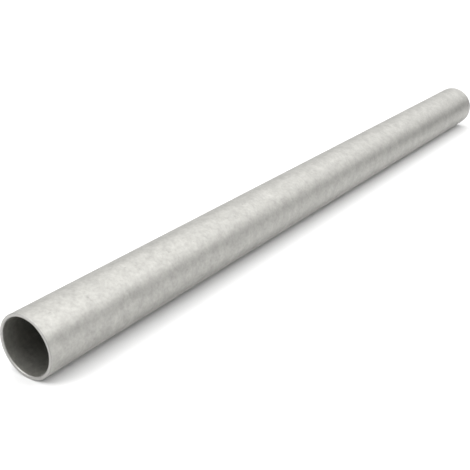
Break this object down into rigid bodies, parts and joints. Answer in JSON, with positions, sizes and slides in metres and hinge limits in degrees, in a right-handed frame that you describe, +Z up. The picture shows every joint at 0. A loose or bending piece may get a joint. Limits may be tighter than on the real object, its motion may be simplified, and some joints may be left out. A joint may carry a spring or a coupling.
{
  "type": "stainless steel exhaust tube",
  "caption": "Straight round steel tube with an open bore and square cut, dressed ends, sold as stock for building or repairing an exhaust line.",
  "frame": {"origin": "on the tube's axis, in the plane of its near cut end", "axes": "+X along the tube from the near end to the far end, +Z up from the floor that the tube lies on"},
  "size_m": [1, 0.0636, 0.0634],
  "materials": {
    "stainless_steel": "pickled mill finish, a light satin grey with a faint cloudy mottle"
  },
  "bodies": {
    "root": {"exhaust_tube": "stainless_steel"}
  },
  "joints": []
}
